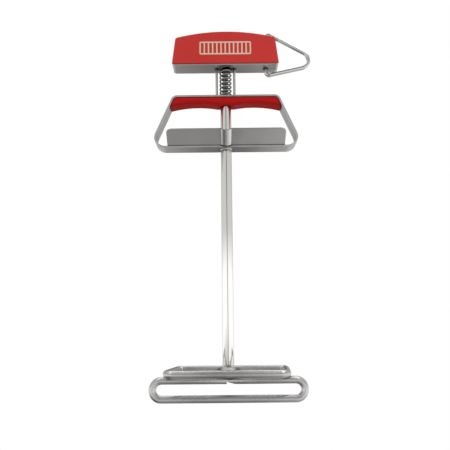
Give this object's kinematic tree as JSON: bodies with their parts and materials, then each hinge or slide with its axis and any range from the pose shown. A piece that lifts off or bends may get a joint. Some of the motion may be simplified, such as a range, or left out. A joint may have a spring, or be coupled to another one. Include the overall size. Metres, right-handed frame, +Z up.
{
  "type": "grill grate lifter",
  "caption": "Hand-held lifter for hot barbecue grates: a palm handle, a spring-loaded finger frame on a long shaft, and two round-bar jaws that open when squeezed.",
  "frame": {"origin": "on the shaft's line, at the underside of the top handle's steel base, where the handle is held", "axes": "+Z up along the shaft, +X towards the hanging ring, -Y towards the front"},
  "size_m": [0.1657, 0.0472, 0.3774],
  "materials": {
    "handle_red": "satin, moulded",
    "grip_red": "satin, moulded",
    "flat_steel": "fine brushed",
    "sheet_steel": "fine brushed, lightly reflecting",
    "tube_steel": "polished",
    "bar_steel": "satin drawn bar",
    "wire_steel": "bright drawn wire",
    "spring_steel": "drawn spring wire",
    "fastener_steel": "zinc plated",
    "weld_steel": "as welded, brushed off",
    "bush_plastic": "black",
    "badge_cream": "satin"
  },
  "bodies": {
    "handle": {"handle_band": "flat_steel", "cover_badge": "badge_cream", "handle_cover_front": "handle_red", "handle_cover_back": "handle_red", "cover_screws": "fastener_steel", "rod_bracket": "flat_steel", "rod_washer": "fastener_steel", "spring_seat": "fastener_steel", "rod_nut": "fastener_steel", "inner_rod": "wire_steel", "rod_weld": "weld_steel", "lower_jaw": "bar_steel", "compression_spring": "spring_steel"},
    "ring": {"hanging_ring": "wire_steel"},
    "pull_frame": {"pull_frame": "flat_steel", "finger_grip": "grip_red", "grip_screws": "fastener_steel", "heat_guard": "sheet_steel", "guide_rod_left": "wire_steel", "guide_rod_right": "wire_steel", "spring_washer": "fastener_steel", "outer_tube": "tube_steel", "tube_bush_upper": "bush_plastic", "tube_bush_lower": "bush_plastic", "upper_jaw": "bar_steel", "jaw_bridge": "flat_steel", "tube_foot_weld": "weld_steel", "frame_weld": "weld_steel"}
  },
  "joints": [
    {"name": "squeeze", "type": "slide", "parent": "handle", "child": "pull_frame", "axis": [0, 0, 1], "range_m": [0, 0.02], "stiffness_N_per_m": 2000, "springref_m": -0.008, "deforming": ["compression_spring"]},
    {"name": "ring_swing", "type": "hinge", "parent": "handle", "child": "ring", "pos_m": [0.0425, 0, 0], "axis": [0, 0, 1], "range_deg": [-90, 90]}
  ]
}
